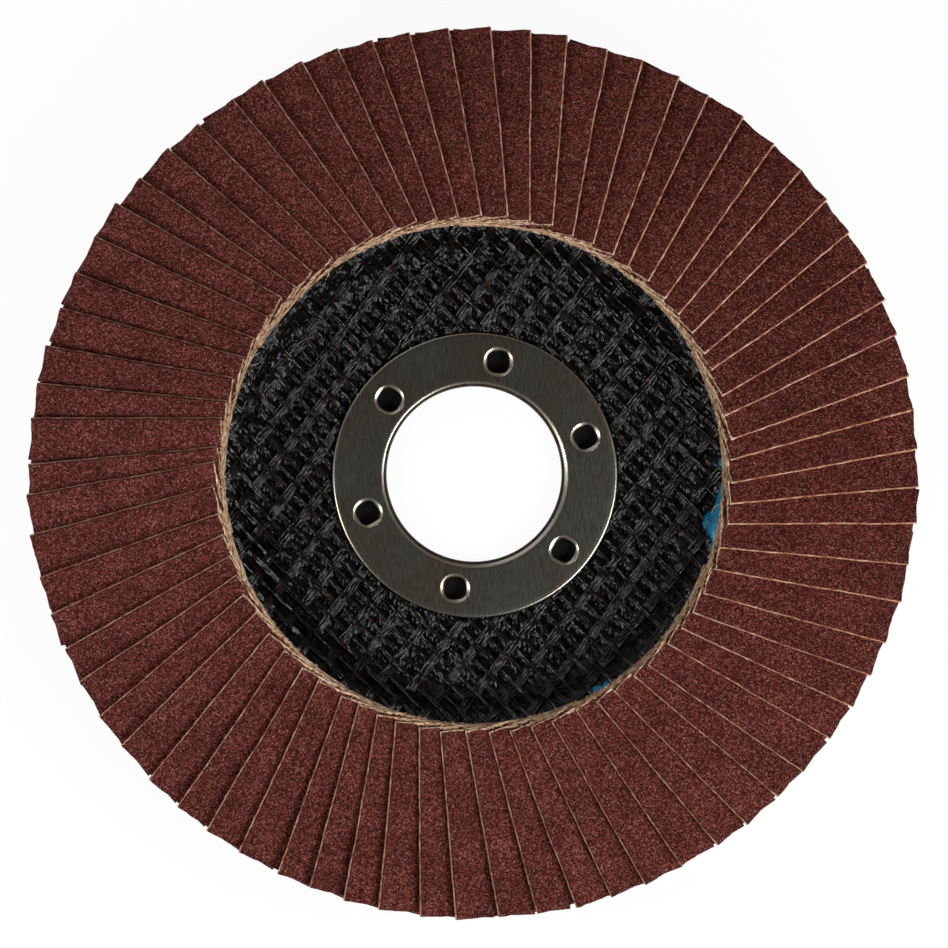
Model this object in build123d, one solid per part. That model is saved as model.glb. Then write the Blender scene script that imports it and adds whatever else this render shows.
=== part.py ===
from build123d import *
import os
from math import asin, cos, degrees, radians, sin, tan

# Flap disc for an angle grinder. It lies flaps up on the back of its hub: the origin is the
# centre of the bore in the plane of the hub's back, and +Z runs toward the flaps.
# Lengths are millimetres, angles are degrees, counter-clockwise seen from the flap side.

# hub ring: one pressed steel piece that lines the bore and grips the front of the laminate
bore_d = 22.23          # standard bore for 115 mm discs
ring_d = 36.0           # outside of the front flange
ring_t = 0.6            # sheet thickness of the flange
collar_t = 0.5          # wall of the collar that lines the bore
bore_roll_r = 0.8       # edge drawn over from the flange into the bore
bore_roll_facets = 2
collar_gap = 0.05       # play between the collar and the laminate

# pierced claws: holes whose burrs are driven into the laminate
claw_count = 6
claw_circle_r = 14.6    # radius of the circle that the claws stand on
claw_start = 19.2       # angle of the first claw
claw_hole_d = 2.9       # hole left by the piercing
claw_wall = 0.35        # wall of the burr where it leaves the flange, thinning to nothing
claw_depth = 1.1        # reach of the burr into the laminate
claw_rim = 0.4          # drawn-in rim of the hole
claw_gap = 0.05         # play between the burr and its pocket

# backing plate: glass-fibre laminate with a depressed centre
plate_d = 106.0
plate_t = 2.2           # thickness of the laminate
plate_rise = 4.2        # height of the back of the rim above the back of the hub
hub_flat_d = 55.2       # flat of the depressed centre, on the front
slope_angle = 52.0      # slope between the hub and the rim

# woven glass rovings that stand proud of the resin on the front of the hub
strand_w = 0.95         # width of a roving
strand_h = 0.35         # its height above the resin
weave = ((135.0, 3.0), (52.0, 3.45))   # direction and spacing of each set of rovings
ring_land = 0.5         # bare resin round the ring
cell_edge = 0.24        # least roving between an opening and the edge of the woven field

# adhesive bed between the rim and the flaps
bed_setback = 1.3       # from the flaps' inner ends to the bed's inner edge
bed_edge = 0.8          # bare rim of the plate outside the bed
bed_t = 0.9             # depth of the adhesive
glue_line = 0.35        # adhesive left under the edge of a flap
bead_h = 0.6            # height of the squeezed-out beads above the rim
bead_drop = 1.2         # how far they run down the slope
# squeezed-out beads: direction, width along the edge, reach in from the bed
squeeze_out = ((-10.5, 7.2, 2.9), (2.4, 2.2, 2.1), (-61.5, 4.4, 1.9))

# flaps of coated cloth
flap_count = 72
flap_w = 15.0           # width of the cut rectangle
flap_t = 0.85           # cloth with its grain
flap_inner = 31.9       # from the axis to the line of the inner end
flap_overhang = 2.7     # how far the outer end stands past the plate
flap_lead = 6.55        # how far the exposed edge stands off the radial line
flap_gap = 0.03         # play between neighbours where they lie closest
flaps_per_node = 2

bore_r = bore_d / 2
collar_r = bore_r + collar_t
ring_top = plate_t + ring_t
plate_bore_r = collar_r + collar_gap
claw_hole_r = claw_hole_d / 2
rim_face = plate_rise + plate_t
flap_foot = rim_face + glue_line
flap_l = plate_d / 2 + flap_overhang - flap_inner
bed_inner_d = 2 * (flap_inner + bed_setback)
bed_outer_d = plate_d - 2 * bed_edge

# a flap is tilted just enough for its neighbour to pass under it at the inner end
flap_step = 360 / flap_count
flap_pass = flap_inner * sin(radians(flap_step)) - flap_lead * (1 - cos(radians(flap_step)))
flap_tilt = degrees(asin((flap_t + flap_gap) / flap_pass))


def revolved(points):
    """A ring turned from a closed outline of (radius, height) points."""
    outline = make_face(Polyline([(r, 0, z) for r, z in points], close=True))
    return revolve(outline, Axis.Z)


def cylinder_between(radius, low, high):
    return Pos(0, 0, low) * extrude(Circle(radius), high - low)


def claw_places():
    """Where the claws stand on the back plane."""
    turns = [radians(claw_start + k * 360 / claw_count) for k in range(claw_count)]
    return [Pos(claw_circle_r * cos(a), claw_circle_r * sin(a), 0) for a in turns]


def bore_roll():
    """The edge drawn from the flange into the bore, as facets of a quarter circle."""
    turns = [radians(90 * k / bore_roll_facets) for k in range(bore_roll_facets + 1)]
    centre_r = bore_r + bore_roll_r
    centre_z = ring_top - bore_roll_r
    return [(centre_r - bore_roll_r * sin(a), centre_z + bore_roll_r * cos(a)) for a in turns]


def cone_between(low_r, high_r, low, high):
    return Pos(0, 0, (low + high) / 2) * Cone(low_r, high_r, high - low)


def hub_ring():
    """Flange and collar in one pressing, with the pierced claws."""
    ring = revolved([
        (bore_r, 0),
        (collar_r, 0),
        (collar_r, plate_t),
        (ring_d / 2, plate_t),
        (ring_d / 2, ring_top),
        *bore_roll(),
    ])
    claw_tip = plate_t - claw_depth
    for place in claw_places():
        ring += place * cone_between(claw_hole_r, claw_hole_r + claw_wall, claw_tip, plate_t)
        ring -= place * cylinder_between(claw_hole_r, claw_tip, ring_top)
        ring -= place * cone_between(claw_hole_r, claw_hole_r + claw_rim, ring_top - claw_rim, ring_top)
    return ring


def dished_front(height):
    """The two bends of the surface that lies this far below the front, square to it."""
    shift = height * tan(radians(slope_angle) / 2)
    foot = hub_flat_d / 2 + shift
    head = foot + plate_rise / tan(radians(slope_angle))
    return (foot, plate_t - height), (head, rim_face - height)


def dished_plate():
    """The bare laminate: a flat hub, a slope and a flat rim of one thickness."""
    return revolved([
        (plate_bore_r, 0),
        *dished_front(plate_t),
        (plate_d / 2, plate_rise),
        (plate_d / 2, rim_face),
        *reversed(dished_front(0)),
        (plate_bore_r, plate_t),
    ])


def weave_cells(inner_r, outer_r):
    """The diamonds between crossing rovings that lie whole between the two circles."""
    (turn_a, pitch_a), (turn_b, pitch_b) = weave
    skew = abs(sin(radians(turn_a - turn_b)))
    along_a = Vector(1, 0).rotate(Axis.Z, turn_a) / skew
    along_b = Vector(1, 0).rotate(Axis.Z, turn_b) / skew
    half_a = along_a * (pitch_b - strand_w) / 2
    half_b = along_b * (pitch_a - strand_w) / 2
    corners = [half_a + half_b, half_a - half_b, -half_a - half_b, half_b - half_a]
    reach = int(outer_r / min(pitch_a, pitch_b)) + 1
    cells = []
    for i in range(-reach, reach):
        for j in range(-reach, reach):
            centre = along_a * pitch_b * (i + 0.5) + along_b * pitch_a * (j + 0.5)
            spans = [(centre + corner).length for corner in corners]
            if min(spans) > inner_r and max(spans) < outer_r:
                cells.append(Pos(centre) * make_face(Polyline(corners, close=True)))
    return cells


def woven_field():
    """Two sets of rovings that cross, standing on the flat of the hub."""
    inner_r = ring_d / 2 + ring_land
    outer_r = hub_flat_d / 2
    plan = Circle(outer_r) - Circle(inner_r) - weave_cells(inner_r + cell_edge, outer_r - cell_edge)
    return Pos(0, 0, plate_t) * extrude(plan, strand_h)


def backing_plate():
    """The laminate, with its bore, claw pockets and woven front."""
    plate = dished_plate()
    pocket_r = claw_hole_r + claw_wall + claw_gap
    for place in claw_places():
        plate -= place * cylinder_between(pocket_r, plate_t - claw_depth - claw_gap, plate_t)
    return plate + woven_field()


def flap(index):
    """One cut rectangle of cloth, leaning on its neighbour, with its high edge clockwise."""
    block = Box(flap_l, flap_w, flap_t, align=(Align.MIN, Align.MIN, Align.MAX))
    leaned = Rot(-flap_tilt, 0, 0) * block
    top = flap_foot + flap_w * sin(radians(flap_tilt)) + flap_t * cos(radians(flap_tilt))
    return Rot(0, 0, -index * flap_step) * Pos(flap_inner, -flap_lead, top) * leaned


def bead(direction, width, reach):
    """Adhesive squeezed out under the ends of the flaps, over the top of the slope."""
    bulge_r = (width**2 / 4 + reach**2) / (2 * reach)
    centre = Pos(bed_inner_d / 2 - reach + bulge_r, 0, 0)
    return Rot(0, 0, direction) * centre * cylinder_between(bulge_r, rim_face - bead_drop, rim_face + bead_h)


def adhesive_bed(flaps):
    """The ring of adhesive, moulded round the low edges of the flaps, with a flat to each pair."""
    flats = flap_count // flaps_per_node
    outer = RegularPolygon(bed_outer_d / 2, flats)
    inner = RegularPolygon(bed_inner_d / 2, flats)
    beads = Part() + [bead(*squeezed) for squeezed in squeeze_out]
    bed = Pos(0, 0, rim_face) * extrude(outer - inner, bed_t)
    return bed + (beads - dished_plate()) - flaps


os.makedirs("parts", exist_ok=True)
flaps = [flap(i) for i in range(flap_count)]
parts = {
    "hub_ring": hub_ring(),
    "backing_plate": backing_plate(),
    "adhesive_bed": adhesive_bed(flaps),
}
for number, first in enumerate(range(0, flap_count, flaps_per_node), start=1):
    parts[f"flap_pair_{number:02d}"] = Compound(children=flaps[first:first + flaps_per_node])
for name, shape in parts.items():
    shape.label = name
    export_step(shape, f"parts/{name}.step")
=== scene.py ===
import bpy
import math
import random
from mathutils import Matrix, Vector, noise


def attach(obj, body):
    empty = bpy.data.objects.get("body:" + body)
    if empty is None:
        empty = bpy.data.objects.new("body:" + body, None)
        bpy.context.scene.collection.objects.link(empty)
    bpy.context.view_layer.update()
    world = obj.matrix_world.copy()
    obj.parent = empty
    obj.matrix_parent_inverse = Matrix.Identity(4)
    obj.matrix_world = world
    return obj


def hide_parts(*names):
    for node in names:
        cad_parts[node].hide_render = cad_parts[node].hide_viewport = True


# Flap disc lying flaps up on its hub. Metres; the origin is the bore's centre in the plane of the back.

mm = 0.001
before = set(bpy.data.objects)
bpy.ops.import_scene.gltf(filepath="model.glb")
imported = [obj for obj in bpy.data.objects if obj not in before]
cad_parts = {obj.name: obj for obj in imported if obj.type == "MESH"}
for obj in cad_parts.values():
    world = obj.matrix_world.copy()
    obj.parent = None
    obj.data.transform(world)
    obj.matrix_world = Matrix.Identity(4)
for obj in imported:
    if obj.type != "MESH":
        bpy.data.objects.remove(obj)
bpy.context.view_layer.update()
random.seed(72)


def linear(hexText):
    parts = [int(hexText[i:i + 2], 16) / 255 for i in (1, 3, 5)]
    return (*[p / 12.92 if p <= 0.04045 else ((p + 0.055) / 1.055) ** 2.4 for p in parts], 1.0)


def addNode(tree, kind, values=None, links=None, stops=None, **settings):
    node = tree.nodes.new(kind)
    for name, value in settings.items():
        setattr(node, name, value)
    for socket, value in (values or {}).items():
        node.inputs[socket].default_value = value
    for socket, source in (links or {}).items():
        tree.links.new(source, node.inputs[socket])
    if stops:
        ramp = node.color_ramp
        while len(ramp.elements) < len(stops):
            ramp.elements.new(1.0)
        for element, (place, colour) in zip(ramp.elements, stops):
            element.position = place
            element.color = linear(colour) if isinstance(colour, str) else (colour, colour, colour, 1.0)
    return node


# gives back the material, its nodes, its shader and the place of a point on the piece
def newMaterial(name, values):
    material = bpy.data.materials.new(name)
    material.use_nodes = True
    tree = material.node_tree
    tree.nodes.clear()
    shader = addNode(tree, "ShaderNodeBsdfPrincipled", values)
    addNode(tree, "ShaderNodeOutputMaterial", links={0: shader.outputs[0]})
    place = addNode(tree, "ShaderNodeTexCoord")
    return material, tree, shader, place.outputs["Object"]


# a piece from points in mm; faceMaterial numbers the material of each face
def newPiece(name, verts, faces, materials, faceMaterial=None, smooth=True):
    mesh = bpy.data.meshes.new(name)
    mesh.from_pydata([(x * mm, y * mm, z * mm) for x, y, z in verts], [], faces)
    for material in materials:
        mesh.materials.append(material)
    if faceMaterial:
        mesh.polygons.foreach_set("material_index", faceMaterial)
    mesh.polygons.foreach_set("use_smooth", [smooth] * len(mesh.polygons))
    mesh.update()
    piece = bpy.data.objects.new(name, mesh)
    bpy.context.scene.collection.objects.link(piece)
    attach(piece, "root")
    return piece


# a thin three-sided thread along points, added to lists of verts and faces; all in mm
def addThread(verts, faces, points, radii):
    sides = 3
    first = len(verts)
    count = len(points)
    for i, p in enumerate(points):
        ahead = (points[min(i + 1, count - 1)] - points[max(i - 1, 0)]).normalized()
        side = ahead.cross(Vector((0, 0, 1)))
        side = side.normalized() if side.length > 1e-4 else Vector((1, 0, 0))
        up = side.cross(ahead)
        for k in range(sides):
            turn = math.tau * (k + 0.25) / sides
            verts.append(tuple(p + side * (radii[i] * math.cos(turn)) + up * (radii[i] * math.sin(turn))))
    for i in range(count - 1):
        a = first + i * sides
        for k in range(sides):
            n = (k + 1) % sides
            faces.append((a + k, a + sides + k, a + sides + n, a + n))
    faces.append(tuple(first + k for k in range(sides)))
    last = first + (count - 1) * sides
    faces.append(tuple(last + k for k in reversed(range(sides))))


# a closed outline of (radius, height) turned about Z; move shifts each point to its last place
def turned(outline, segments, move=None):
    verts = []
    for r, z in outline:
        for k in range(segments):
            turn = math.tau * k / segments
            p = Vector((r * math.cos(turn), r * math.sin(turn), z))
            verts.append(tuple(move(p) if move else p))
    faces = []
    rings = len(outline)
    for i in range(rings):
        a, b = i * segments, (i + 1) % rings * segments
        for k in range(segments):
            n = (k + 1) % segments
            faces.append((a + k, a + n, b + n, b + k))
    return verts, faces


# places from low up to but without high, about one size apart
def steps(low, high, size):
    count = max(1, round(abs(high - low) / size))
    return [low + (high - low) * i / count for i in range(count)]


def softStep(low, high, value):
    t = min(1.0, max(0.0, (value - low) / (high - low)))
    return t * t * (3 - 2 * t)


# 1 for a ray that comes from the camera, off a gloss or through a pane, and 0 for plain bounced light
def seenDirectly(tree):
    path = addNode(tree, "ShaderNodeLightPath")
    seen = addNode(tree, "ShaderNodeMath", {},
                   {0: path.outputs["Is Camera Ray"], 1: path.outputs["Is Glossy Ray"]}, operation="MAXIMUM")
    return addNode(tree, "ShaderNodeMath", {}, {0: seen.outputs[0], 1: path.outputs["Is Transmission Ray"]},
                   operation="MAXIMUM")


print("stage 1: materials")

# Sizes in mm: layer and layerRun of the streaks on the layered ends, dash of the marks along a cut.
# Cotton fibres are too fine to show, so the streaks are drawn coarser, 0.13 mm.
# gap is the dark between the layered streaks: partly the resin and grain between the cloth layers, partly
# painted shade
cloth = {"gap": "#3b2519", "dark": "#c49d7a", "light": "#f6e3ca", "pale": "#fff4e2",
         "cut": "#bd8768", "cutShade": "#864a32", "cutLight": "#e3bda4", "dash": 1.1,
         "layer": 0.13, "layerRun": 1.6, "endR": 32, "relief": 0.06, "roughness": 0.88, "specular": 0.2}


# noise drawn out along circles about the bore, for cloth seen on its layered inner ends
def layered(tree, place):
    streak = cloth["layer"] * mm
    xyz = addNode(tree, "ShaderNodeSeparateXYZ", links={0: place})
    turn = addNode(tree, "ShaderNodeMath", {}, {0: xyz.outputs["Y"], 1: xyz.outputs["X"]},
                   operation="ARCTAN2")
    arc = addNode(tree, "ShaderNodeMath", {1: cloth["endR"] / cloth["layerRun"]}, {0: turn.outputs[0]},
                  operation="MULTIPLY")
    flat = addNode(tree, "ShaderNodeVectorMath", {1: (1, 1, 0)}, {0: place}, operation="MULTIPLY")
    out = addNode(tree, "ShaderNodeVectorMath", {}, {0: flat.outputs[0]}, operation="LENGTH")
    radius = addNode(tree, "ShaderNodeMath", {1: 1 / streak}, {0: out.outputs["Value"]}, operation="MULTIPLY")
    depth = addNode(tree, "ShaderNodeMath", {1: 1 / (2 * streak)}, {0: xyz.outputs["Z"]},
                    operation="MULTIPLY")
    laid = addNode(tree, "ShaderNodeCombineXYZ", links={0: radius.outputs[0], 1: arc.outputs[0],
                                                        2: depth.outputs[0]})
    return addNode(tree, "ShaderNodeTexNoise", {"Scale": 1.0, "Detail": 3.0, "Roughness": 0.6},
                   {"Vector": laid.outputs[0]})


# About P100 brown aluminium oxide, electro-coated and sized with red-brown phenolic resin.
# Gives angular grains of 0.155 mm, dull maroon, with pinkish painted highlights on a few: facets catching the
# light drawn into the colour.
grain = {"grit": 0.155, "dark": "#270d09", "mid": "#4d1e17", "light": "#7d4138", "paintedGlint": "#92665d",
         "roughness": 0.6, "specular": 0.08, "relief": 0.08, "patch": 5.0, "chip": 0.45}
abrasiveGrain, tree, shader, place = newMaterial(
    "phenolicAluminiumOxideGrain", {"Roughness": grain["roughness"], "Specular IOR Level": grain["specular"]})
cells = addNode(tree, "ShaderNodeTexVoronoi", {"Scale": 1 / (grain["grit"] * mm), "Randomness": 1.0},
                {"Vector": place}, feature="F1")
tone = addNode(tree, "ShaderNodeSeparateColor", links={0: cells.outputs["Color"]})
# the top stop is a painted highlight, the glints of grain facets
grainColour = addNode(tree, "ShaderNodeValToRGB", links={0: tone.outputs[0]}, stops=[
    (0.0, grain["dark"]), (0.46, grain["mid"]), (0.88, grain["light"]), (1.0, grain["paintedGlint"])])
cloudy = addNode(tree, "ShaderNodeTexNoise", {"Scale": 1 / (grain["patch"] * mm), "Detail": 3.0},
                 {"Vector": place})
cloudTone = addNode(tree, "ShaderNodeValToRGB", links={0: cloudy.outputs[0]},
                    stops=[(0.3, "#d8cfcf"), (0.7, "#ffffff")])
mottled = addNode(tree, "ShaderNodeMix", {"Factor": 1.0},
                  {6: grainColour.outputs[0], 7: cloudTone.outputs[0]},
                  data_type="RGBA", blend_type="MULTIPLY")
# cloth that shows where the grain has broken away beside a cut
bareMark = addNode(tree, "ShaderNodeAttribute", attribute_name="bare")
chips = addNode(tree, "ShaderNodeTexNoise", {"Scale": 1 / (grain["chip"] * mm), "Detail": 2.0},
                {"Vector": place})
chipped = addNode(tree, "ShaderNodeMath", {}, {0: bareMark.outputs["Fac"], 1: chips.outputs[0]},
                  operation="ADD")
bare = addNode(tree, "ShaderNodeMapRange", {"From Min": 1.0, "From Max": 1.12}, {"Value": chipped.outputs[0]})
layers = layered(tree, place)
# the gap stop is partly painted shade between the layers
yarnColour = addNode(tree, "ShaderNodeValToRGB", links={0: layers.outputs[0]}, stops=[
    (0.36, cloth["gap"]), (0.5, cloth["dark"]), (0.7, cloth["light"])])
skin = addNode(tree, "ShaderNodeMix", {},
               {0: bare.outputs[0], 6: mottled.outputs[2], 7: yarnColour.outputs[0]}, data_type="RGBA")
tree.links.new(skin.outputs[2], shader.inputs["Base Color"])
height = addNode(tree, "ShaderNodeMath", {1: 0.6}, {0: tone.outputs[1]}, operation="MULTIPLY")
peaks = addNode(tree, "ShaderNodeMath", {}, {0: height.outputs[0], 1: cells.outputs["Distance"]},
                operation="SUBTRACT")
bump = addNode(tree, "ShaderNodeBump", {"Strength": 0.9, "Distance": grain["relief"] * mm},
               {"Height": peaks.outputs[0]})
tree.links.new(bump.outputs[0], shader.inputs["Normal"])

# Heavy cotton twill, woven, stiffened and dyed by its resin sizing, cut with a knife.
# Gives the tan lines along the cut edges and the hairy layered ends.
cottonCloth, tree, shader, place = newMaterial(
    "resinSizedCottonCloth", {"Roughness": cloth["roughness"], "Specular IOR Level": cloth["specular"]})
threads = layered(tree, place)
# the gap stop is partly painted shade between the layers
endColour = addNode(tree, "ShaderNodeValToRGB", links={0: threads.outputs[0]}, stops=[
    (0.36, cloth["gap"]), (0.43, cloth["dark"]), (0.53, cloth["light"]), (0.66, cloth["pale"])])
# the long knife cut is redder, with resin dragged along it
drag = addNode(tree, "ShaderNodeTexNoise",
               {"Scale": 1 / (cloth["dash"] * mm), "Detail": 6.0, "Roughness": 0.72}, {"Vector": place})
cutColour = addNode(tree, "ShaderNodeValToRGB", links={0: drag.outputs[0]}, stops=[
    (0.38, cloth["cutShade"]), (0.5, cloth["cut"]), (0.62, cloth["cutLight"])])
frayed = addNode(tree, "ShaderNodeAttribute", attribute_name="frayed")
clothColour = addNode(tree, "ShaderNodeMix", {}, {0: frayed.outputs["Fac"], 6: cutColour.outputs[0],
                                                  7: endColour.outputs[0]}, data_type="RGBA")
tree.links.new(clothColour.outputs[2], shader.inputs["Base Color"])
bump = addNode(tree, "ShaderNodeBump", {"Strength": 0.6, "Distance": cloth["relief"] * mm},
               {"Height": threads.outputs[0]})
tree.links.new(bump.outputs[0], shader.inputs["Normal"])

# Phenolic laminate: black resin pressed through woven glass.
# Gives a near-black glossy skin, a little duller and browner in patches.
laminate = {"dark": "#020202", "light": "#050403", "brown": "#170d08", "specular": 0.18, "coarse": 1.1,
            "glossy": 0.08, "dull": 0.18, "flowAcross": 0.34, "flowRun": 1.1, "flowTurn": 45, "relief": 0.2}
blackLaminate, tree, shader, place = newMaterial(
    "pressedPhenolicLaminate", {"Specular IOR Level": laminate["specular"]})
coarse = addNode(tree, "ShaderNodeTexNoise",
                 {"Scale": 1 / (laminate["coarse"] * mm), "Detail": 5.0, "Roughness": 0.6},
                 {"Vector": place})
coatColour = addNode(tree, "ShaderNodeValToRGB", links={0: coarse.outputs[0]}, stops=[
    (0.35, laminate["dark"]), (0.6, laminate["light"]), (0.78, laminate["brown"])])
tree.links.new(coatColour.outputs[0], shader.inputs["Base Color"])
gloss = addNode(tree, "ShaderNodeMapRange",
                {"From Min": 0.35, "From Max": 0.7, "To Min": laminate["glossy"], "To Max": laminate["dull"]},
                {"Value": coarse.outputs[0]})
tree.links.new(gloss.outputs[0], shader.inputs["Roughness"])
# resin that flowed along the main strands
flowAcross, flowRun = 1 / (laminate["flowAcross"] * mm), 1 / (laminate["flowRun"] * mm)
flow = addNode(tree, "ShaderNodeMapping",
               {"Rotation": (0, 0, math.radians(laminate["flowTurn"])),
                "Scale": (flowAcross, flowRun, flowAcross)}, {"Vector": place})
fine = addNode(tree, "ShaderNodeTexNoise", {"Scale": 1.0, "Detail": 1.5}, {"Vector": flow.outputs[0]})
bump = addNode(tree, "ShaderNodeBump", {"Strength": 1.0, "Distance": laminate["relief"] * mm},
               {"Height": fine.outputs[0]})
tree.links.new(bump.outputs[0], shader.inputs["Normal"])

# The same resin where it was pressed flat under the steel ring.
# Gives the deep matt black inside the claws.
pocket = {"dark": "#020202", "light": "#0c0907", "roughness": 0.7, "specular": 0.15, "crumb": 0.7,
          "relief": 0.05}
flatResin, tree, shader, place = newMaterial(
    "flatPressedResin", {"Roughness": pocket["roughness"], "Specular IOR Level": pocket["specular"]})
crumbs = addNode(tree, "ShaderNodeTexNoise", {"Scale": 1 / (pocket["crumb"] * mm), "Detail": 3.0},
                 {"Vector": place})
crumbColour = addNode(tree, "ShaderNodeValToRGB", links={0: crumbs.outputs[0]},
                      stops=[(0.4, pocket["dark"]), (0.8, pocket["light"])])
tree.links.new(crumbColour.outputs[0], shader.inputs["Base Color"])
bump = addNode(tree, "ShaderNodeBump", {"Strength": 0.5, "Distance": pocket["relief"] * mm},
               {"Height": crumbs.outputs[0]})
tree.links.new(bump.outputs[0], shader.inputs["Normal"])

# Glass filaments soaked in the same resin, woven and pressed.
# Gives fine dark threads with small wet glints, brown in places.
roving = {"dark": "#030202", "light": "#0c0a08", "brown": "#4a2c1b", "roughness": 0.12, "specular": 0.9,
          "patch": 0.9, "drop": 0.4, "relief": 0.05}
glassRoving, tree, shader, place = newMaterial(
    "resinCoatedGlassRoving", {"Roughness": roving["roughness"], "Specular IOR Level": roving["specular"]})
wet = addNode(tree, "ShaderNodeTexNoise",
              {"Scale": 1 / (roving["patch"] * mm), "Detail": 4.0, "Roughness": 0.7}, {"Vector": place})
wetColour = addNode(tree, "ShaderNodeValToRGB", links={0: wet.outputs[0]}, stops=[
    (0.3, roving["dark"]), (0.58, roving["light"]), (0.74, roving["brown"])])
tree.links.new(wetColour.outputs[0], shader.inputs["Base Color"])
drops = addNode(tree, "ShaderNodeTexNoise", {"Scale": 1 / (roving["drop"] * mm), "Detail": 1.0},
                {"Vector": place})
bump = addNode(tree, "ShaderNodeBump", {"Strength": 1.0, "Distance": roving["relief"] * mm},
               {"Height": drops.outputs[0]})
tree.links.new(bump.outputs[0], shader.inputs["Normal"])

# Cold-rolled steel sheet, its rolling grain all one way, pressed to shape.
# Gives a grey face with fine lines across the ring and bright drawn edges.
# Real rolling lines are a few hundredths of a millimetre, too fine to show, so they are drawn 0.11 mm wide.
steel = {"colour": "#a19b90", "shade": "#898378", "warm": "#fff8ee", "cool": "#f0f6f8",
         "grainWidth": 0.11, "grainLength": 1.5, "grainDepth": 10 / 3, "stain": 6, "relief": 0.004,
         "glossy": 0.24, "dull": 0.33}
grainedSteel, tree, shader, place = newMaterial("coldRolledSteelSheet", {"Metallic": 1.0})
stretch = addNode(tree, "ShaderNodeMapping",
                  {"Scale": [1 / (steel[size] * mm) for size in ("grainWidth", "grainLength", "grainDepth")]},
                  {"Vector": place})
lines = addNode(tree, "ShaderNodeTexNoise", {"Scale": 1.0, "Detail": 5.0, "Roughness": 0.7},
                {"Vector": stretch.outputs[0]})
stain = addNode(tree, "ShaderNodeTexNoise", {"Scale": 1 / (steel["stain"] * mm), "Detail": 2.0},
                {"Vector": place})
steelTone = addNode(tree, "ShaderNodeMix", {"Factor": 0.45}, {6: lines.outputs[0], 7: stain.outputs[0]},
                    data_type="RGBA")
steelColour = addNode(tree, "ShaderNodeValToRGB", links={0: steelTone.outputs[2]},
                      stops=[(0.35, steel["shade"]), (0.65, steel["colour"])])
tint = addNode(tree, "ShaderNodeValToRGB", links={0: stain.outputs[0]},
               stops=[(0.38, steel["warm"]), (0.62, steel["cool"])])
tinted = addNode(tree, "ShaderNodeMix", {"Factor": 1.0}, {6: steelColour.outputs[0], 7: tint.outputs[0]},
                 data_type="RGBA", blend_type="MULTIPLY")
tree.links.new(tinted.outputs[2], shader.inputs["Base Color"])
steelGloss = addNode(tree, "ShaderNodeMapRange",
                     {"From Min": 0.3, "From Max": 0.7, "To Min": steel["glossy"], "To Max": steel["dull"]},
                     {"Value": lines.outputs[0]})
tree.links.new(steelGloss.outputs[0], shader.inputs["Roughness"])
bump = addNode(tree, "ShaderNodeBump", {"Strength": 0.2, "Distance": steel["relief"] * mm},
               {"Height": lines.outputs[0]})
tree.links.new(bump.outputs[0], shader.inputs["Normal"])

# The same sheet inside the bore and on the steep part of its roll, painted dark as painted shade.
# Gives the dark line between the bright roll and the hole.
wall = {"colour": "#1d1611", "mottleBrown": "#3a281c", "metallic": 0.3, "roughness": 0.55, "specular": 0.1,
        "mottleSize": 0.8, "relief": 0.03}
paintedShadeWall, tree, shader, place = newMaterial(
    "boreWallPaintedShade",
    {"Metallic": wall["metallic"], "Roughness": wall["roughness"], "Specular IOR Level": wall["specular"]})
wallMottle = addNode(tree, "ShaderNodeTexNoise", {"Scale": 1 / (wall["mottleSize"] * mm), "Detail": 4.0},
                 {"Vector": place})
# brown mottling within the painted shade
paintedShadeColour = addNode(tree, "ShaderNodeValToRGB", links={0: wallMottle.outputs[0]},
                      stops=[(0.4, wall["colour"]), (0.7, wall["mottleBrown"])])
tree.links.new(paintedShadeColour.outputs[0], shader.inputs["Base Color"])
bump = addNode(tree, "ShaderNodeBump", {"Strength": 0.4, "Distance": wall["relief"] * mm},
               {"Height": wallMottle.outputs[0]})
tree.links.new(bump.outputs[0], shader.inputs["Normal"])

# Two-part epoxy, squeezed out and cured.
# Gives smooth teal lumps with a wet sheen and paler swirls.
epoxy = {"deep": "#00597c", "pale": "#0a80a8", "roughness": 0.34, "swirl": 1.4, "relief": 0.1}
blueEpoxy, tree, shader, place = newMaterial("curedBlueEpoxy", {"Roughness": epoxy["roughness"]})
swirl = addNode(tree, "ShaderNodeTexNoise", {"Scale": 1 / (epoxy["swirl"] * mm), "Detail": 3.0},
                {"Vector": place})
swirlColour = addNode(tree, "ShaderNodeValToRGB", links={0: swirl.outputs[0]},
                      stops=[(0.35, epoxy["deep"]), (0.65, epoxy["pale"])])
tree.links.new(swirlColour.outputs[0], shader.inputs["Base Color"])
bump = addNode(tree, "ShaderNodeBump", {"Strength": 0.5, "Distance": epoxy["relief"] * mm},
               {"Height": swirl.outputs[0]})
tree.links.new(bump.outputs[0], shader.inputs["Normal"])

# White card under the disc, matt. It shows white and keeps the soft shadow.
card = {"colour": "#f4f4f4", "white": 0.94, "roughness": 0.9}
studioCard, tree, shader, place = newMaterial(
    "mattWhiteCard", {"Base Color": linear(card["colour"]), "Roughness": card["roughness"]})
output = next(n for n in tree.nodes if n.type == "OUTPUT_MATERIAL")
share = addNode(tree, "ShaderNodeMath", {1: card["white"]}, {0: seenDirectly(tree).outputs[0]},
                operation="MULTIPLY")
glow = addNode(tree, "ShaderNodeEmission", {"Color": (1, 1, 1, 1), "Strength": 1.0})
cardMix = addNode(tree, "ShaderNodeMixShader", {},
                  {0: share.outputs[0], 1: shader.outputs[0], 2: glow.outputs[0]})
tree.links.new(cardMix.outputs[0], output.inputs[0])

print("stage 2: the dished plate")

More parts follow.
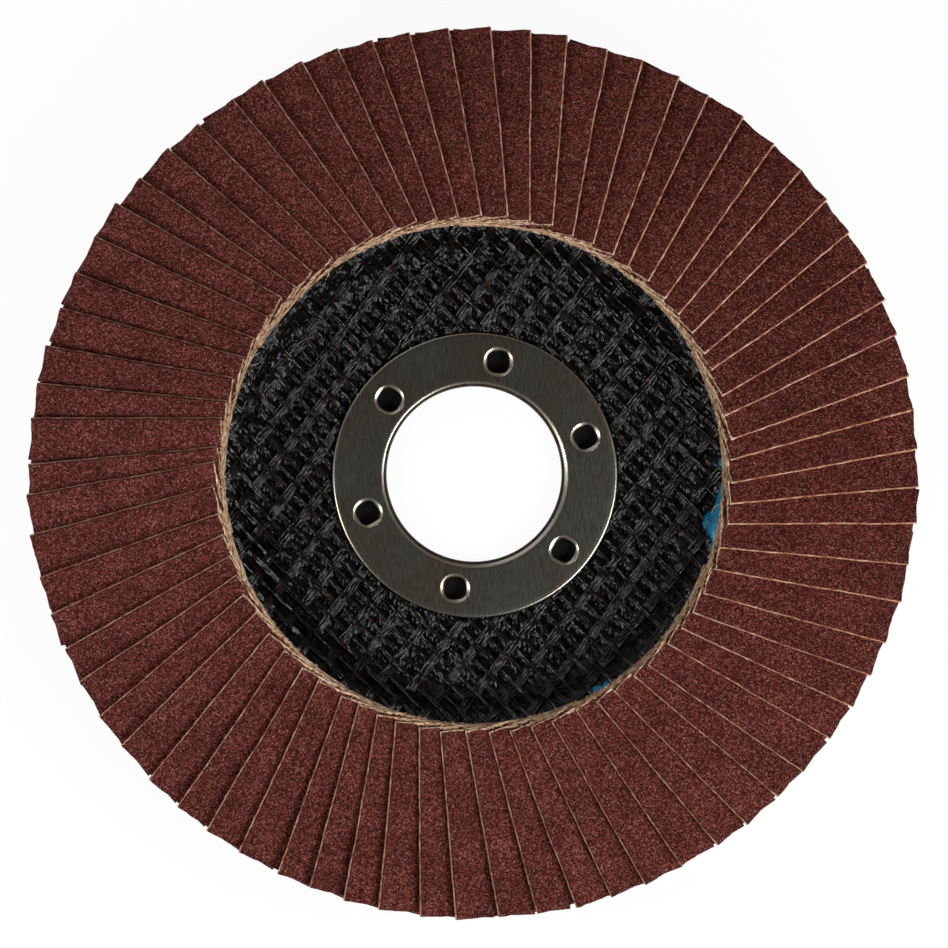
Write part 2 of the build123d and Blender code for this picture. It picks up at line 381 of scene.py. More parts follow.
plate = {"boreR": 11.665, "thick": 2.2, "rise": 4.2, "hubFlatR": 27.6, "slope": 52.0, "rimR": 53.0,
         "segments": 600, "frontStep": 0.25, "coveredStep": 2.0, "ringStep": 0.45, "backStep": 0.75,
         "bend": 2.0, "hollow": 0.075, "ringR": 17.8, "clawR": 14.6, "clawStart": 19.2,
         "clawShift": (0.34, -0.13), "pocketR": 2.0, "pocketFloor": 1.05, "pocketEdge": 0.15, "wovenR": 33.0,
         "edge": 0.2, "lump": 0.07, "lumpSize": 1.3, "grit": 0.06, "gritSize": 0.6, "lumpSlope": 2,
         "lumpBack": 0.2, "slopeFrom": 26, "slopeTo": 29}
# The glass cloth: turns in degrees, sizes in mm. ridge is what its strands raise on the front and printed
# what they press into the back; the cross and fine strands have a share of it.
weave = {"mainTurn": 135.0, "mainPitch": 3.0, "crossTurn": 52.0, "crossPitch": 3.45, "mainWidth": 0.35,
         "crossWidth": 0.6, "crossShare": 0.9, "fineWidth": 0.3, "fineShare": 0.8,
         "ridge": 0.22, "sink": 0.08, "printed": 0.07}


# the smaller of two heights, with the corner between them rounded over a width
def softMin(a, b, width):
    h = max(width - abs(a - b), 0) / width
    return min(a, b) - h * h * width / 4


def dishFront(r):
    rise = plate["thick"] + (r - plate["hubFlatR"]) * math.tan(math.radians(plate["slope"]))
    hub = plate["thick"] + plate["hollow"] * max(0.0, r - plate["ringR"])
    lower = -softMin(-hub, -rise, plate["bend"])
    return softMin(lower, plate["rise"] + plate["thick"], plate["bend"])


def dishBack(r):
    shift = plate["thick"] * math.tan(math.radians(plate["slope"]) / 2)
    rise = (r - plate["hubFlatR"] - shift) * math.tan(math.radians(plate["slope"]))
    return softMin(-softMin(0.0, -rise, plate["bend"] * 0.8), plate["rise"], plate["bend"])


def across(turn, x, y):  # distance from the line through the centre at this angle
    return -x * math.sin(math.radians(turn)) + y * math.cos(math.radians(turn))


# how near a point is to the strands of one set, 1 on a strand and 0 between two
def strandNear(turn, pitch, x, y, width):
    d = across(turn, x, y) / pitch
    return math.exp(-(((d - round(d)) * pitch / width) ** 2))


# the strands and the resin's lumps at a point of the plate
def weaveHeight(x, y, z):
    main = strandNear(weave["mainTurn"], weave["mainPitch"], x, y, weave["mainWidth"])
    cross = strandNear(weave["crossTurn"], weave["crossPitch"], x, y, weave["crossWidth"])
    fine = strandNear(weave["mainTurn"], weave["mainPitch"] / 2, x, y, weave["fineWidth"])
    lumps = noise.noise(Vector((x, y, z)) / plate["lumpSize"]) * plate["lump"]
    lumps += noise.noise(Vector((x, y, z)) / plate["gritSize"]) * plate["grit"]
    return max(main, cross * weave["crossShare"], fine * weave["fineShare"]), lumps


clawPlaces = [(plate["clawR"] * math.cos(math.radians(plate["clawStart"] + 60 * k)) + plate["clawShift"][0],
               plate["clawR"] * math.sin(math.radians(plate["clawStart"] + 60 * k)) + plate["clawShift"][1])
              for k in range(6)]


# heights that only mark a point of the outline; plateSkin sets the real ones
front, back = -10.0, 100.0


# the resin skin: pockets under the claws, ridges over the strands, a print of the cloth on the back
def plateSkin(p):
    r = math.hypot(p.x, p.y)
    if p.z == front:
        z = dishFront(r)
        if r < plate["ringR"]:
            near = min(math.hypot(p.x - x, p.y - y) for x, y in clawPlaces)
            inner, outer = plate["pocketR"] - plate["pocketEdge"], plate["pocketR"] + plate["pocketEdge"]
            z += (plate["pocketFloor"] - z) * (1 - softStep(inner, outer, near))
        elif r < plate["wovenR"]:
            ridge, lumps = weaveHeight(p.x, p.y, z)
            lumps *= 1 + plate["lumpSlope"] * softStep(plate["slopeFrom"], plate["slopeTo"], r)
            raised = weave["ridge"] * ridge - weave["sink"] + lumps
            z += raised * softStep(plate["ringR"], plate["ringR"] + 0.6, r)
        return Vector((p.x, p.y, z))
    if p.z == back:
        ridge, lumps = weaveHeight(p.x, p.y, 0)
        press = softStep(plate["boreR"], plate["boreR"] + 1, r)
        press *= softStep(plate["rimR"], plate["rimR"] - 1, r)
        printed = weave["printed"] * (1 - ridge) + plate["lumpBack"] * lumps
        return Vector((p.x, p.y, dishBack(r) + press * max(0, printed)))
    return p


rimR, rimFlat, rimTop = plate["rimR"], plate["rimR"] - plate["edge"], plate["rise"] + plate["thick"]
outline = [(r, back) for r in steps(plate["boreR"] + 0.15, rimFlat, plate["backStep"])]
outline += [(rimFlat, plate["rise"]), (rimR, plate["rise"] + plate["edge"])]
outline += [(rimR + 0.03, plate["rise"] + plate["thick"] / 2), (rimR, rimTop - plate["edge"])]
outline += [(r, front) for r in steps(rimFlat, plate["wovenR"] + 0.5, plate["coveredStep"])]
outline += [(r, front) for r in steps(plate["wovenR"] + 0.5, plate["ringR"], plate["frontStep"])]
outline += [(r, front) for r in steps(plate["ringR"], plate["boreR"], plate["ringStep"])]
outline += [(plate["boreR"], plate["thick"] - 0.1), (plate["boreR"], 0.15)]
verts, faces = turned(outline, plate["segments"], plateSkin)
underRing = [int(max(math.hypot(verts[i][0], verts[i][1]) for i in f) < plate["ringR"] and
                 min(verts[i][2] for i in f) > 0.5) for f in faces]
plateBody = newPiece("laminatePlate", verts, faces, [blackLaminate, flatResin], underRing)
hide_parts("backing_plate")

print("stage 3: woven glass")

# the fine strands lie halfway between two main ones; wave is how far a set rises over the other
mainSet = {"turn": weave["mainTurn"], "pitch": weave["mainPitch"]}
crossSet = {"turn": weave["crossTurn"], "pitch": weave["crossPitch"]}
strands = {
    "rovingMain": {**mainSet, "shift": 0.0, "filaments": 3, "width": 0.54, "wave": 0.22},
    "rovingFine": {**mainSet, "shift": weave["mainPitch"] / 2, "filaments": 2, "width": 0.3, "wave": 0.16},
    "rovingCross": {**crossSet, "shift": 0.0, "filaments": 5, "width": 1.15, "wave": -0.17},
}
# Real filaments are about a hundredth of a millimetre, too fine to show: each thread stands for a bundle
# of them and is drawn 0.24 mm thick.
filament = {"radius": 0.12, "step": 0.4, "innerR": 18.2, "outerR": 32.6, "lift": 0.28, "crown": 0.1,
            "wander": 0.2, "wanderRun": 2.2, "bend": 0.35, "bendRun": 14, "dip": 0.15, "dipRun": 0.9,
            "swell": 0.8, "swellRun": 0.5, "slopeLift": 0.3, "slopeFrom": 26.5, "looseRun": 0.9,
            "uneven": 0.12, "thin": 0.75, "thick": 1.2}


# over and under the other set
def weaveWave(x, y, amount):
    main = 2 * across(weave["mainTurn"], x, y) / weave["mainPitch"]
    cross = across(weave["crossTurn"], x, y) / weave["crossPitch"]
    return amount * math.cos(math.pi * main) * math.cos(math.pi * cross)


for name, strand in strands.items():
    verts, faces = [], []
    turn = math.radians(strand["turn"])
    forward = Vector((math.cos(turn), math.sin(turn), 0))
    sideways = Vector((-math.sin(turn), math.cos(turn), 0))
    reach = int(filament["outerR"] / strand["pitch"]) + 1
    for row in range(-reach, reach + 1):
        offset = row * strand["pitch"] + strand["shift"]
        offset += random.uniform(-filament["uneven"], filament["uneven"])
        for j in range(strand["filaments"]):
            spread = (j - (strand["filaments"] - 1) / 2) / strand["filaments"] * strand["width"]
            crown = filament["crown"] * (1 - (2 * spread / strand["width"]) ** 2)
            seed = row * 17.3 + j * 5.1 + strand["shift"]
            radius = filament["radius"] * random.uniform(filament["thin"], filament["thick"])
            run, radii = [], []
            t = -filament["outerR"]
            while t < filament["outerR"]:
                wander = filament["wander"] * noise.noise(Vector((t / filament["wanderRun"], seed, 0)))
                bendPlace = Vector((t / filament["bendRun"], row * 3.7, strand["turn"]))
                wander += filament["bend"] * noise.noise(bendPlace)
                p = forward * t + sideways * (offset + spread + wander)
                r = p.length
                if filament["innerR"] < r < filament["outerR"]:
                    lift = filament["lift"] + crown + weaveWave(p.x, p.y, strand["wave"])
                    slope = softStep(filament["slopeFrom"], plate["slopeTo"], r)
                    loose = 0.4 + noise.noise(Vector((p.x, p.y, 3.0)) / filament["looseRun"])
                    lift += filament["slopeLift"] * slope * loose
                    lift += filament["dip"] * noise.noise(Vector((t / filament["dipRun"], seed, 7)))
                    run.append(Vector((p.x, p.y, dishFront(r) + lift)))
                    swell = filament["swell"] * noise.noise(Vector((t / filament["swellRun"], seed, 13)))
                    radii.append(radius * (1 + swell))
                elif len(run) > 2:
                    addThread(verts, faces, run, radii)
                    run, radii = [], []
                t += filament["step"]
            if len(run) > 2:
                addThread(verts, faces, run, radii)
    newPiece(name, verts, faces, [glassRoving])

print("stage 4: hub ring")

ring = {"boreR": 11.115, "collarR": 11.615, "rollR": 0.92, "low": 2.2, "top": 2.8, "outerR": 18.03,
        "edge": 0.12, "segments": 240, "flatRings": (12.4, 13.0, 16.4, 17.2),
        "clawLip": 0.46, "lipDepth": 0.18, "lipSteps": 7, "holeR": 1.47, "burrTip": 1.1, "burrWall": 0.35,
        "burrRagged": 0.12, "lipSegments": 48, "square": 0.045, "squareTurn": 0.2, "uneven": 0.05,
        "shift": (0.12, -0.14), "shiftR": (11.12, 11.6), "shiftZ": (1.7, 2.2), "rollSteps": 18, "wallR": 11.5}


# the flange, the roll into the bore and the collar
def ringOutline():
    outline = [(ring["boreR"], 0.0), (ring["boreR"], 0.6), (ring["boreR"], 1.3)]
    for k in range(ring["rollSteps"] + 1):
        turn = math.radians(90 * k / ring["rollSteps"])
        outline.append((ring["boreR"] + ring["rollR"] * (1 - math.cos(turn)),
                        ring["top"] - ring["rollR"] * (1 - math.sin(turn))))
    outerR, edge = ring["outerR"], ring["edge"]
    outline += [(r, ring["top"]) for r in (*ring["flatRings"], outerR - 2 * edge)]
    outline += [(outerR - edge, ring["top"] - 0.02), (outerR, ring["top"] - edge)]
    outline += [(outerR, ring["low"] + 0.05), (outerR - 0.05, ring["low"])]
    outline += [(r, ring["low"]) for r in (*reversed(ring["flatRings"][1:]), ring["collarR"] + 0.1)]
    outline += [(ring["collarR"], ring["low"] - 0.1), (ring["collarR"], 0.0)]
    return outline


def ringPlace(p):  # the flange sits a shade off the bore's centre
    off = softStep(*ring["shiftR"], math.hypot(p.x, p.y)) * softStep(*ring["shiftZ"], p.z)
    return p + Vector((ring["shift"][0], ring["shift"][1], 0)) * off


verts, faces = turned(ringOutline(), ring["segments"], ringPlace)
faces = [tuple(reversed(f)) for f in faces]
# faces of the bore and of the steep part of the roll take the painted shade
inBore = [int(max(math.hypot(verts[i][0], verts[i][1]) for i in f) < ring["wallR"]) for f in faces]
hubRing = newPiece("hubRing", verts, faces, [grainedSteel, paintedShadeWall], inBore)

# round openings for the claws
lipR = ring["holeR"] + ring["clawLip"]
cutter = bpy.data.meshes.new("clawCutter")
cutVerts, cutFaces = [], []
count = ring["lipSegments"]
for x, y in clawPlaces:
    base = len(cutVerts)
    for z in (ring["low"] - 0.5, ring["top"] + 0.5):
        for k in range(count):
            turn = math.tau * k / count
            cutVerts.append(((x + lipR * math.cos(turn)) * mm, (y + lipR * math.sin(turn)) * mm, z * mm))
    for k in range(count):
        n = (k + 1) % count
        cutFaces.append((base + k, base + n, base + count + n, base + count + k))
    cutFaces.append(tuple(base + k for k in reversed(range(count))))
    cutFaces.append(tuple(base + count + k for k in range(count)))
cutter.from_pydata(cutVerts, [], cutFaces)
cutterObject = bpy.data.objects.new("clawCutter", cutter)
bpy.context.scene.collection.objects.link(cutterObject)
cut = hubRing.modifiers.new("claws", "BOOLEAN")
cut.operation = "DIFFERENCE"
cut.solver = "EXACT"
cut.object = cutterObject
bpy.context.view_layer.update()
cutMesh = bpy.data.meshes.new_from_object(hubRing.evaluated_get(bpy.context.evaluated_depsgraph_get()))
hubRing.modifiers.clear()
hubRing.data = cutMesh
bpy.data.objects.remove(cutterObject)
sharp = hubRing.modifiers.new("sharp", "EDGE_SPLIT")
sharp.split_angle = math.radians(40)
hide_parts("hub_ring")

# drawn-in lips and burrs of the claws
lip = [(lipR, ring["low"]), (lipR, ring["top"] - 0.03), (lipR - 0.03, ring["top"])]
for k in range(1, ring["lipSteps"] + 1):
    inward = k / ring["lipSteps"]
    drawn = ring["lipDepth"] * (inward + 0.4 * inward ** 3)
    lip.append((lipR - ring["clawLip"] * inward, ring["top"] - drawn))
lip += [(ring["holeR"] - 0.03, 2.4), (ring["holeR"], 1.7), (ring["holeR"], ring["burrTip"])]
lip += [(ring["holeR"] + 0.04, ring["burrTip"]), (ring["holeR"] + ring["burrWall"], ring["low"])]
verts, faces = [], []
for number, (x, y) in enumerate(clawPlaces):
    # a hole pierced not quite round, with a ragged burr below
    def pierced(p):
        turn = math.atan2(p.y, p.x)
        inward = min(1.0, (lipR - math.hypot(p.x, p.y)) / ring["clawLip"])
        uneven = ring["uneven"] * noise.noise(Vector((math.cos(turn), math.sin(turn), number * 3.0)))
        square = ring["square"] * math.cos(4 * (turn - math.atan2(y, x) - ring["squareTurn"]))
        out = inward * (uneven - square)
        ragged = noise.noise(Vector((math.cos(turn) * 3, math.sin(turn) * 3, number)))
        tip = ring["burrRagged"] * ragged if p.z < 1.5 else 0.0
        return Vector((p.x * (1 + out) + x, p.y * (1 + out) + y, p.z + max(tip, 0)))
    clawVerts, clawFaces = turned(lip, ring["lipSegments"], pierced)
    base = len(verts)
    verts += clawVerts
    faces += [tuple(base + i for i in f) for f in clawFaces]
clawLips = newPiece("clawLips", verts, faces, [grainedSteel])
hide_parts("hub_ring")

print("stage 5: adhesive")

bed = {"innerR": 33.2, "outerR": 52.2, "low": 6.4, "top": 7.3, "segments": 288,
       "wave": 0.3, "waveSize": 3.5, "lump": 0.12, "lumpSize": 1.1, "inset": 0.15}
# squeezed holds each bead's direction in degrees, its length along the flaps' ends and its reach
bead = {"squeezed": ((-10.3, 9.0, 1.75), (2.4, 2.4, 1.0), (-59.3, 3.0, 1.05)), "edgeR": 31.9, "lift": 0.3,
        "height": 0.7, "seat": 0.1, "below": 0.15, "lump": 0.28, "lumps": 2.2, "wave": 0.25, "waves": 5,
        "rows": 12, "columns": 28}


# uneven inner and outer edges
def bedSkin(p):
    r = math.hypot(p.x, p.y)
    side = 1 if r > (bed["innerR"] + bed["outerR"]) / 2 else -1
    wave = bed["wave"] * noise.noise(Vector((p.x, p.y, 0)) / bed["waveSize"])
    wave += bed["lump"] * noise.noise(Vector((p.x, p.y, p.z)) / bed["lumpSize"])
    scale = (r + side * (wave - bed["inset"])) / r
    return Vector((p.x * scale, p.y * scale, p.z))


inner, outer = bed["innerR"], bed["outerR"]
outline = [(inner + 0.2, bed["low"]), (40, bed["low"]), (outer - 0.1, bed["low"])]
outline += [(outer, bed["low"] + 0.2), (outer, bed["top"] - 0.25), (outer - 0.25, bed["top"])]
outline += [(46, bed["top"]), (40, bed["top"]), (inner + 0.3, bed["top"])]
outline += [(inner, bed["top"] - 0.3), (inner, bed["low"] + 0.2)]
verts, faces = turned(outline, bed["segments"], bedSkin)
adhesiveBed = newPiece("adhesiveBed", verts, faces, [blueEpoxy])
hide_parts("adhesive_bed")


# a point of one bead: lat from its top, lon round it
def beadPoint(direction, length, reach, lat, lon):
    tangent = math.sin(lat) * math.cos(lon)
    radial = math.sin(lat) * math.sin(lon)
    up = math.cos(lat)
    blob = Vector((tangent * bead["lumps"], radial * bead["lumps"], direction + up))
    lump = 1 + bead["lump"] * noise.noise(blob)
    wave = 1 + bead["wave"] * math.sin(tangent * bead["waves"] + direction)
    r = bead["edgeR"] + radial * reach * lump * wave
    turn = math.radians(direction) + tangent * lump * length / 2 / r
    z = max(dishFront(r) - bead["seat"], dishFront(r) + bead["lift"] + bead["height"] * up * lump)
    return r * math.cos(turn), r * math.sin(turn), min(z, bed["top"] - bead["below"])


verts, faces = [], []
rows, columns = bead["rows"], bead["columns"]
for direction, length, reach in bead["squeezed"]:
    topPoint = len(verts)
    base = topPoint + 1
    lowPoint = base + (rows - 1) * columns
    verts.append(beadPoint(direction, length, reach, 0.0, 0.0))
    for i in range(1, rows):
        for k in range(columns):
            verts.append(beadPoint(direction, length, reach, math.pi * i / rows, math.tau * k / columns))
    verts.append(beadPoint(direction, length, reach, math.pi, 0.0))
    for k in range(columns):
        n = (k + 1) % columns
        faces.append((topPoint, base + n, base + k))
        for i in range(rows - 2):
            a, b = base + i * columns, base + (i + 1) * columns
            faces.append((a + k, a + n, b + n, b + k))
        last = base + (rows - 2) * columns
        faces.append((last + k, last + n, lowPoint))
adhesiveBeads = newPiece("adhesiveBeads", verts, faces, [blueEpoxy])
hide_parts("adhesive_bed")

print("stage 6: flaps")

flap = {"count": 72, "inner": 31.9, "length": 23.8, "width": 15.0, "thick": 0.85, "lead": 6.55, "foot": 6.75,
        "play": 0.03, "grainDepth": 0.3, "endX": 31.75, "endLean": 0.012, "endR": 31.5,
        "trim": 0.18, "offCentre": 0.15, "offCentreTurn": 135}
# How one flap differs from the next in its seat and its bends, and how ragged its cut edges are.
# All in mm apart from yaw, in degrees; Run and Width are the lengths over which each comes and goes.
wear = {"seat": 0.08, "slide": 0.32, "slideUp": 0.3, "slideDown": 0.8, "radial": 0.12, "yaw": 0.3,
        "curl": 0.12, "cornerLow": -0.15, "cornerHigh": 0.12, "cornerWidth": 5,
        "ripple": 0.12, "rippleRun": 7, "rippleWidth": 5,
        "kink": 0.09, "kinkFrom": 4, "kinkTo": 20, "kinkRun": 2,
        "ragged": 0.05, "raggedRun": 2.4, "nick": 0.025, "nickRun": 0.5, "cutWidth": 1.5,
        "innerRun": 0.9, "outer": 0.1, "outerRun": 1.2, "grit": 0.035, "gritRun": 0.6,
        "proud": 0.05, "proudRun": 0.35, "burr": 0.05, "burrRun": 0.4}
# where the grain has broken away: a strip beside the inner end, wider lower down, and specks along the cut
chip = {"least": 0.06, "most": 0.24, "lower": 0.5, "lowerFrom": 1.6, "lowerTo": 2.9,
        "cut": 0.22, "cutWidth": 0.35, "rim": 0.45}
# threads at the inner end and the tail, a few of them long and loose; the end is frayed to 0.7 mm along
fringe = {"hairs": 22, "tail": 5, "radius": 0.028, "long": 0.6, "innerTo": 11.0, "tailTo": 6.5,
          "tailLong": 0.45, "looseShare": 0.008, "loose": 4.0, "rooted": 0.06, "points": 5,
          "frayedFrom": 0.1, "frayedTo": 0.7}
flapTurn = math.tau / flap["count"]
passing = flap["inner"] * math.sin(flapTurn) - flap["lead"] * (1 - math.cos(flapTurn))
tilt = math.asin((flap["thick"] + flap["play"]) / passing)
flapTop = flap["foot"] + flap["width"] * math.sin(tilt) + flap["thick"] * math.cos(tilt)
# mesh lines along a flap and down its width, closer where it shows
lengths = [0.0, 0.15, 0.35, 0.65, 1.0] + steps(1.5, flap["length"] - 0.3, 0.55)
lengths += [flap["length"] - 0.3, flap["length"]]
widths = [0.0, 0.12, 0.4] + steps(0.8, 6.4, 0.56) + [6.4, 8.2, 10.4, 12.6, flap["width"]]


# the inner end: square to the high edge, then leaning in toward the foot, where the stack is pressed together
def endLine(s):
    y = -flap["lead"] + s * math.cos(tilt)
    return max(flap["endX"] - flap["endLean"] * s * s, math.sqrt(flap["endR"] ** 2 - y * y)) - flap["inner"]


# from a flap's own plane to the disc: x along it, s down from the high edge, h above its grain face
def flapPlace(index, x, s, h, slide, yaw, radial):
    middle = flap["length"] / 2
    dx, ds = x - middle, s - flap["width"] / 2
    x = middle + dx * math.cos(yaw) - ds * math.sin(yaw)
    s = flap["width"] / 2 + dx * math.sin(yaw) + ds * math.cos(yaw) + slide
    px = flap["inner"] + x + radial
    py = -flap["lead"] + s * math.cos(tilt) + h * math.sin(tilt)
    pz = flapTop - s * math.sin(tilt) + h * math.cos(tilt)
    turn = -index * flapTurn
    return Vector((px * math.cos(turn) - py * math.sin(turn), px * math.sin(turn) + py * math.cos(turn), pz))


def frayedAt(u):  # 1 on the inner end, 0 where the long cut begins
    return 1.0 - softStep(fringe["frayedFrom"], fringe["frayedTo"], u)


def buildFlap(index, verts, faces, kinds, bareMarks, frayMarks):
    slide = max(-wear["slideUp"], min(wear["slideDown"], random.gauss(wear["seat"], wear["slide"])))
    yaw = math.radians(random.gauss(0, wear["yaw"]))
    radial = random.gauss(0, wear["radial"])
    offCentre = flap["offCentre"] * math.cos(index * flapTurn + math.radians(flap["offCentreTurn"]))
    outerEnd = flap["length"] - flap["trim"] + offCentre
    curl = random.uniform(-1.0, 1.0) * wear["curl"]
    cornerLift = random.uniform(wear["cornerLow"], wear["cornerHigh"])
    bareWidth = random.uniform(chip["least"], chip["most"])
    kink = random.uniform(wear["kinkFrom"], wear["kinkTo"])
    kinkSize = random.gauss(0, wear["kink"])
    seed = index * 7.7

    # u along the flat flap, s down it, h above its grain face, to a point of the bent and ragged one
    def sheet(u, s, h):
        t = u / flap["length"]
        start = endLine(s) + wear["ragged"] * noise.noise(Vector((s / wear["innerRun"], seed, 1)))
        end = outerEnd + wear["outer"] * noise.noise(Vector((s / wear["outerRun"], seed, 5)))
        x = start + (end - start) * t
        ragged = wear["ragged"] * noise.noise(Vector((x / wear["raggedRun"], seed, 3)))
        ragged += wear["nick"] * noise.noise(Vector((x / wear["nickRun"], seed, 4)))
        ragged += kinkSize * softStep(kink - wear["kinkRun"], kink + wear["kinkRun"], x)
        s += ragged * (1 - softStep(0, wear["cutWidth"], s))
        lift = curl * t * t + cornerLift * t ** 4 * (1 - softStep(0, wear["cornerWidth"], s))
        ripple = Vector((x / wear["rippleRun"], s / wear["rippleWidth"], seed))
        lift += wear["ripple"] * t * noise.noise(ripple)
        return x, s, h + lift

    first = len(verts)
    lengthCount, widthCount = len(lengths), len(widths)

    def topIndex(i, j):
        return first + i * widthCount + j

    def lowIndex(i, j):
        return first + (lengthCount + i) * widthCount + j

    for u in lengths:  # the grain face
        for s in widths:
            x, y, z = sheet(u, s, 0.0)
            z += wear["grit"] * noise.noise(Vector((x / wear["gritRun"], s / wear["gritRun"], seed)))
            reach = bareWidth + chip["lower"] * softStep(chip["lowerFrom"], chip["lowerTo"], s)
            bareMark = max(0.0, 1.15 - u / reach) * 0.85
            bareMark += chip["cut"] * (1 - softStep(0, chip["cutWidth"], s))
            verts.append(tuple(flapPlace(index, x, y, z, slide, yaw, radial)))
            bareMarks.append(bareMark)
            frayMarks.append(frayedAt(u))
    for u in lengths:  # the cloth's back, with a burr along the cut
        for s in widths:
            x, y, z = sheet(u, s, -flap["thick"])
            if s == 0:
                y -= wear["burr"] * (1 + noise.noise(Vector((x / wear["burrRun"], seed, 9))))
            verts.append(tuple(flapPlace(index, x, y, z, slide, yaw, radial)))
            bareMarks.append(0.0)
            frayMarks.append(frayedAt(u))
    for i in range(lengthCount - 1):
        for j in range(widthCount - 1):
            faces.append((topIndex(i, j), topIndex(i + 1, j), topIndex(i + 1, j + 1), topIndex(i, j + 1)))
            kinds.append(0)
            faces.append((lowIndex(i, j), lowIndex(i, j + 1), lowIndex(i + 1, j + 1), lowIndex(i + 1, j)))
            kinds.append(1)
    # the rim, with a line between grain and cloth
    loop = [(i, 0) for i in range(lengthCount)] + [(lengthCount - 1, j) for j in range(1, widthCount)]
    loop += [(i, widthCount - 1) for i in range(lengthCount - 2, -1, -1)]
    loop += [(0, j) for j in range(widthCount - 2, 0, -1)]
    rimStart = len(verts)
    for i, j in loop:
        x, y, z = sheet(lengths[i], widths[j], -flap["grainDepth"])
        proud = wear["proud"] * (1 + noise.noise(Vector((x / wear["proudRun"], y / wear["proudRun"], seed))))
        if j == 0:
            y -= proud
        if i == 0:
            x -= proud
        if i == lengthCount - 1:
            x += proud
        verts.append(tuple(flapPlace(index, x, y, z, slide, yaw, radial)))
        bareMarks.append(chip["rim"])
        frayMarks.append(frayedAt(lengths[i]))
    for k, a in enumerate(loop):
        n = (k + 1) % len(loop)
        b = loop[n]
        faces.append((topIndex(*b), topIndex(*a), rimStart + k, rimStart + n))
        kinds.append(0)
        faces.append((rimStart + n, rimStart + k, lowIndex(*a), lowIndex(*b)))
        kinds.append(1)
    # broken threads at the ends
    for k in range(fringe["hairs"] + fringe["tail"]):
        atTail = k >= fringe["hairs"]
        away = 1 if atTail else -1
        s = random.uniform(0.1, fringe["tailTo"] if atTail else fringe["innerTo"])
        depth = -random.uniform(flap["grainDepth"], flap["thick"])
        x, y, z = sheet(flap["length"] if atTail else 0.0, s, depth)
        size = random.uniform(0.25, 1.0) * fringe["long"] * (fringe["tailLong"] if atTail else 1.0)
        size *= fringe["loose"] if random.random() < fringe["looseShare"] else 1.0
        drift = random.uniform(-1.0, 1.0)
        droop = random.uniform(-0.5, 0.25)
        points = []
        for q in range(fringe["points"]):
            t = q / (fringe["points"] - 1)
            outward = size * (t * 0.75 - 0.25 * t * t) * away
            points.append(flapPlace(index, x + outward - fringe["rooted"] * away, y + size * drift * t * t,
                                    z + size * droop * t, slide, yaw, radial))
        before = len(faces)
        thick = fringe["radius"] * random.uniform(0.7, 1.4)
        addThread(verts, faces, points, [thick * (1 - 0.12 * q) for q in range(fringe["points"])])
        kinds.extend([1] * (len(faces) - before))
        bareMarks.extend([0.0] * (len(verts) - len(bareMarks)))
        frayMarks.extend([1.0] * (len(verts) - len(frayMarks)))


for pair in range(flap["count"] // 2):
    verts, faces, kinds, bareMarks, frayMarks = [], [], [], [], []
    for index in (2 * pair, 2 * pair + 1):
        buildFlap(index, verts, faces, kinds, bareMarks, frayMarks)
    piece = newPiece(f"flapPair{pair + 1:02d}", verts, faces, [abrasiveGrain, cottonCloth], kinds,
                     smooth=False)
    for markName, marks in (("bare", bareMarks), ("frayed", frayMarks)):
        mark = piece.data.attributes.new(markName, "FLOAT", "POINT")
        mark.data.foreach_set("value", marks)
    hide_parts(f"flap_pair_{pair + 1:02d}")

print("stage 7: camera, lamps and floor")

# metres, and the lens in mm
studio = {"height": 0.929, "lens": 277.6, "sensor": 36.0, "near": 0.01, "floor": 3.0, "tiles": 8,
          "gap": 0.02 * mm}
camera = bpy.data.cameras.new("camera")
camera.lens = studio["lens"]
camera.sensor_width = studio["sensor"]
camera.clip_start = studio["near"]
cameraObject = bpy.data.objects.new("camera", camera)
cameraObject.location = (0, 0, studio["height"])
bpy.context.scene.collection.objects.link(cameraObject)
bpy.context.scene.camera = cameraObject

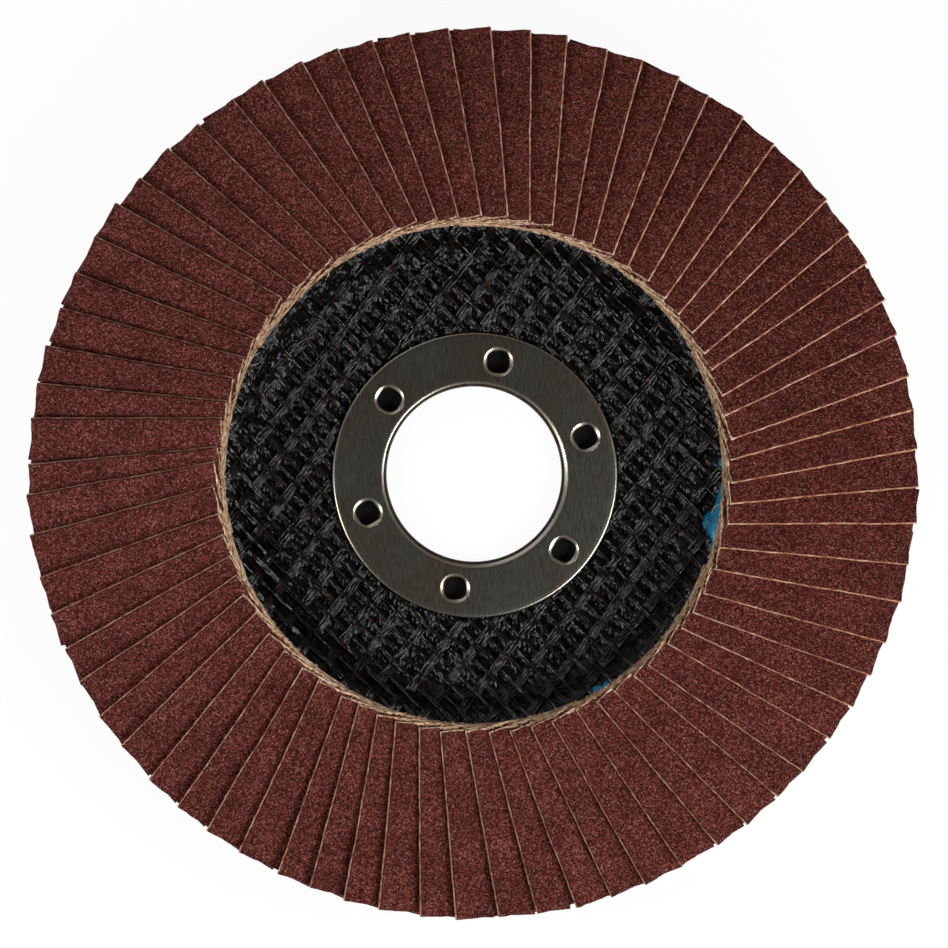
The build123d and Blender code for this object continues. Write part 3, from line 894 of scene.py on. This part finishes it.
lamps = {
    # name: heading clockwise from +Y and elevation in degrees, distance and size in metres, watts
    "keySoftbox": (123, 46, 0.23, (0.157, 0.091), 0.5),
    "sideSoftbox": (253, 42, 0.19, (0.042, 0.078), 0.15),
    "farReflector": (325, 33, 0.3, (0.22, 0.14), 0.09),
    "nearReflector": (258, 24, 0.3, (0.2, 0.12), 0.03),
}
for name, (heading, elevation, distance, size, watts) in lamps.items():
    lamp = bpy.data.lights.new(name, "AREA")
    lamp.shape = "RECTANGLE"
    lamp.size, lamp.size_y = size
    lamp.energy = watts
    lampObject = bpy.data.objects.new(name, lamp)
    flat = math.cos(math.radians(elevation)) * distance
    lampObject.location = (flat * math.sin(math.radians(heading)), flat * math.cos(math.radians(heading)),
                           math.sin(math.radians(elevation)) * distance)
    lampObject.rotation_euler = (-lampObject.location).to_track_quat("-Z", "Y").to_euler()
    bpy.context.scene.collection.objects.link(lampObject)

tiles = studio["tiles"]
floorSteps = [-studio["floor"] / 2 + studio["floor"] * k / tiles for k in range(tiles + 1)]
floorFaces = []
for i in range(tiles):
    for j in range(tiles):
        a, b = i * (tiles + 1) + j, (i + 1) * (tiles + 1) + j
        floorFaces.append((a, b, b + 1, a + 1))
floorMesh = bpy.data.meshes.new("floor")
floorMesh.from_pydata([(x, y, -studio["gap"]) for x in floorSteps for y in floorSteps], [], floorFaces)
floorMesh.materials.append(studioCard)
floor = bpy.data.objects.new("floor", floorMesh)
bpy.context.scene.collection.objects.link(floor)

world = bpy.data.worlds.new("studioRoom")
bpy.context.scene.world = world
world.use_nodes = True
tree = world.node_tree
tree.nodes.clear()
# what gloss and the camera see, from the floor up: white, dim, lit walls and a dark ceiling
room = {"ceiling": 0.025, "sides": 0.36, "low": 0.1, "fill": 0.1}
roomPlace = addNode(tree, "ShaderNodeTexCoord")
upward = addNode(tree, "ShaderNodeSeparateXYZ", links={0: roomPlace.outputs["Generated"]})
walls = addNode(tree, "ShaderNodeValToRGB", links={0: upward.outputs["Z"]},
                stops=[(0.0, 1.0), (0.05, 1.0), (0.1, room["low"]), (0.36, room["low"]),
                       (0.48, room["sides"]), (0.7, room["sides"]), (0.9, room["ceiling"])])
roomSeen = addNode(tree, "ShaderNodeBackground", {"Strength": 1.0}, {"Color": walls.outputs[0]})
roomFill = addNode(tree, "ShaderNodeBackground", {"Color": (1, 1, 1, 1), "Strength": room["fill"]})
roomMix = addNode(tree, "ShaderNodeMixShader", {},
                  {0: seenDirectly(tree).outputs[0], 1: roomFill.outputs[0], 2: roomSeen.outputs[0]})
addNode(tree, "ShaderNodeOutputWorld", links={0: roomMix.outputs[0]})
bpy.context.scene.view_settings.view_transform = "Standard"
